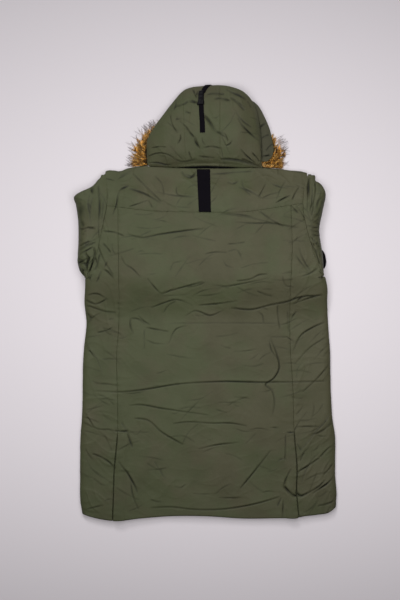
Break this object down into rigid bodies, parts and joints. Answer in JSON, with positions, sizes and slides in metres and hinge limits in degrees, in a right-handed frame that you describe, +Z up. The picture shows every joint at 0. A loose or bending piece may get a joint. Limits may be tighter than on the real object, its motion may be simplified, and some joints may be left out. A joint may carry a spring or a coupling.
{
  "type": "fur trimmed parka",
  "caption": "Padded hooded parka lying face down with its hood up, fur round the hood, vents at the hem and its sleeves folded under.",
  "frame": {"origin": "on the floor, under the middle of the coat's box", "axes": "+Y from the hem to the hood, +X to the right of someone who looks at the back of the coat, +Z up from the floor"},
  "size_m": [0.6534, 1.0851, 0.0557],
  "materials": {
    "shell_fabric": "olive fine weave over thin wadding",
    "black_webbing": "woven tape, ribbed",
    "black_plastic": "moulded, fine texture",
    "rib_knit": "rib knit",
    "fur": "golden brown pile with grey-black guard hairs"
  },
  "bodies": {
    "root": {"back_panel": "shell_fabric", "back_tape": "black_webbing", "back_yoke": "shell_fabric", "cuff_right": "rib_knit", "front_left": "shell_fabric", "front_placket": "shell_fabric", "front_right": "shell_fabric", "fur_trim": "fur", "hood_centre": "shell_fabric", "hood_front": "shell_fabric", "hood_left": "shell_fabric", "hood_right": "shell_fabric", "hood_strap": "black_webbing", "hood_strap_slider": "black_plastic", "side_panel_left": "shell_fabric", "side_panel_right": "shell_fabric", "sleeve_left": "shell_fabric", "sleeve_left_folded": "shell_fabric", "sleeve_right": "shell_fabric", "sleeve_right_folded": "shell_fabric", "vent_facing_left": "shell_fabric", "vent_facing_right": "shell_fabric"}
  },
  "joints": []
}
